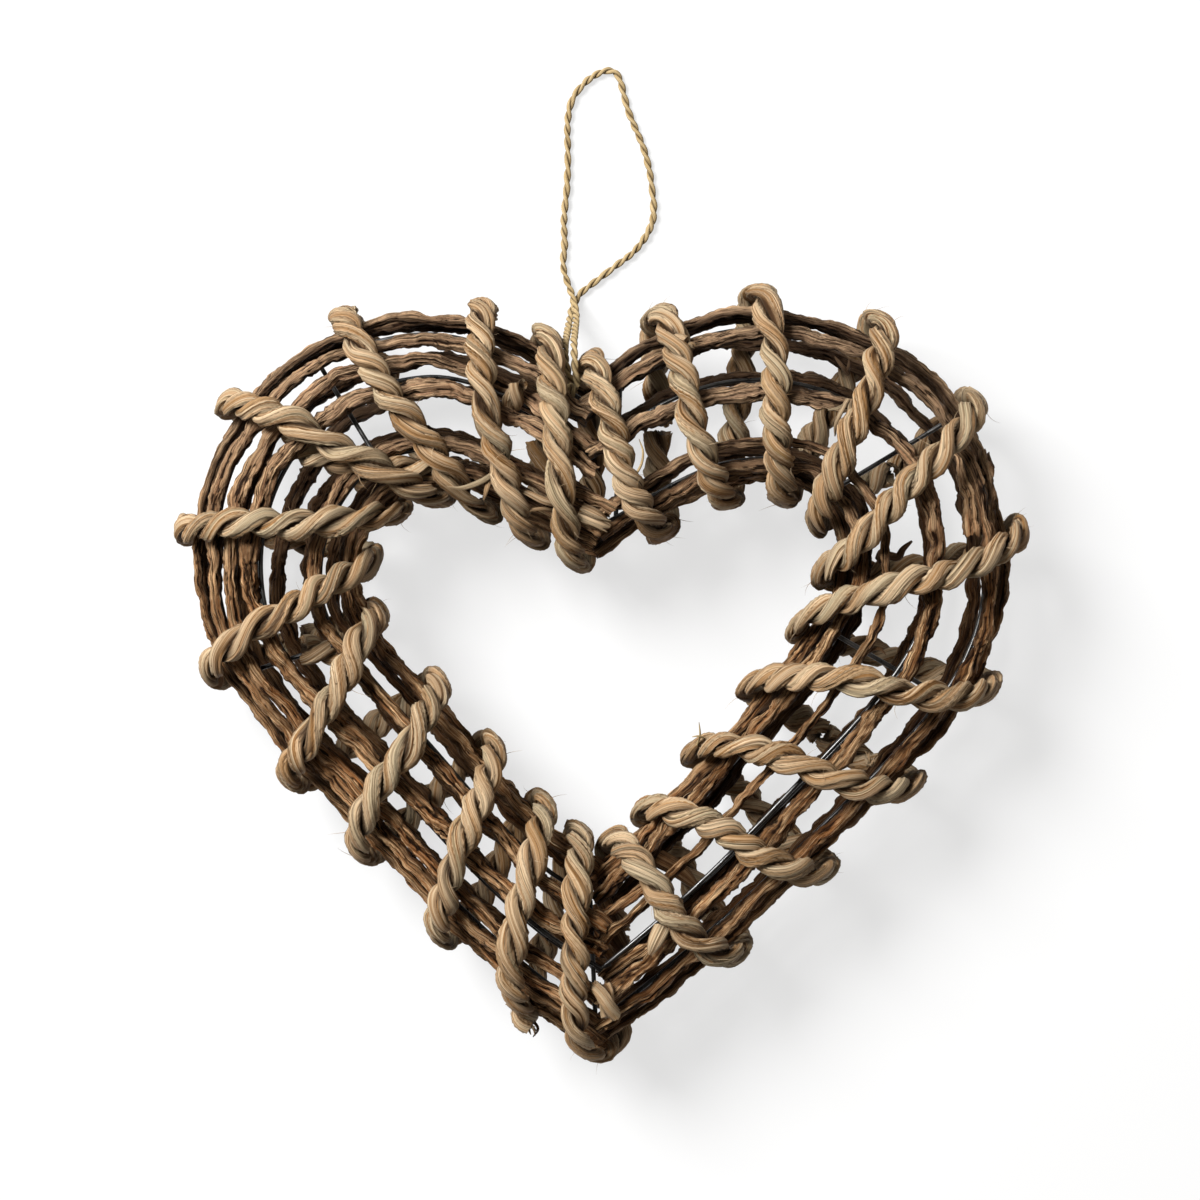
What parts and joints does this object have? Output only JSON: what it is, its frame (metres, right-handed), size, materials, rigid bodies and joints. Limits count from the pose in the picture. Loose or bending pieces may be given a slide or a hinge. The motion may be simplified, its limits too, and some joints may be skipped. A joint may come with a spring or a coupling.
{
  "type": "woven heart wall decoration",
  "caption": "Open heart ring of bark-covered vines over a wire frame, bound with a spiral of twisted grass rope, with a twine hanging loop at the cleft.",
  "frame": {"origin": "centre of the bottom of the box round the heart without its hanging loop, on the surface it lies on", "axes": "+X to the heart's right, +Y from its tip to its cleft, +Z out of its front"},
  "size_m": [0.2952, 0.3498, 0.0664],
  "materials": {
    "bark": "rough dark brown bark with lighter ridges",
    "black_wire": "semi-gloss black",
    "grass_rope": "dry twisted grass, tan with brown and grey streaks",
    "jute_twine": "fine light tan jute"
  },
  "bodies": {
    "root": {"vine_left_01": "bark", "vine_left_02": "bark", "vine_left_03": "bark", "vine_left_04": "bark", "vine_left_05": "bark", "vine_left_06": "bark", "vine_left_07": "bark", "vine_left_08": "bark", "vine_left_09": "bark", "vine_left_10": "bark", "vine_left_11": "bark", "vine_left_12": "bark", "vine_left_13": "bark", "vine_right_01": "bark", "vine_right_02": "bark", "vine_right_03": "bark", "vine_right_04": "bark", "vine_right_05": "bark", "vine_right_06": "bark", "vine_right_07": "bark", "vine_right_08": "bark", "vine_right_09": "bark", "vine_right_10": "bark", "vine_right_11": "bark", "vine_right_12": "bark", "wire_outer": "black_wire", "wire_front": "black_wire", "wire_inner": "black_wire", "wire_back": "black_wire", "strut_left_lobe": "black_wire", "strut_left_side": "black_wire", "strut_tip": "black_wire", "strut_right_side": "black_wire", "strut_right_lobe": "black_wire", "strut_cleft": "black_wire", "rope_left_lobe": "grass_rope", "rope_left_arm": "grass_rope", "rope_right_arm": "grass_rope", "rope_right_side": "grass_rope", "rope_right_lobe": "grass_rope", "rope_cleft": "grass_rope", "loop_knot": "jute_twine", "hanging_loop": "jute_twine"}
  },
  "joints": []
}
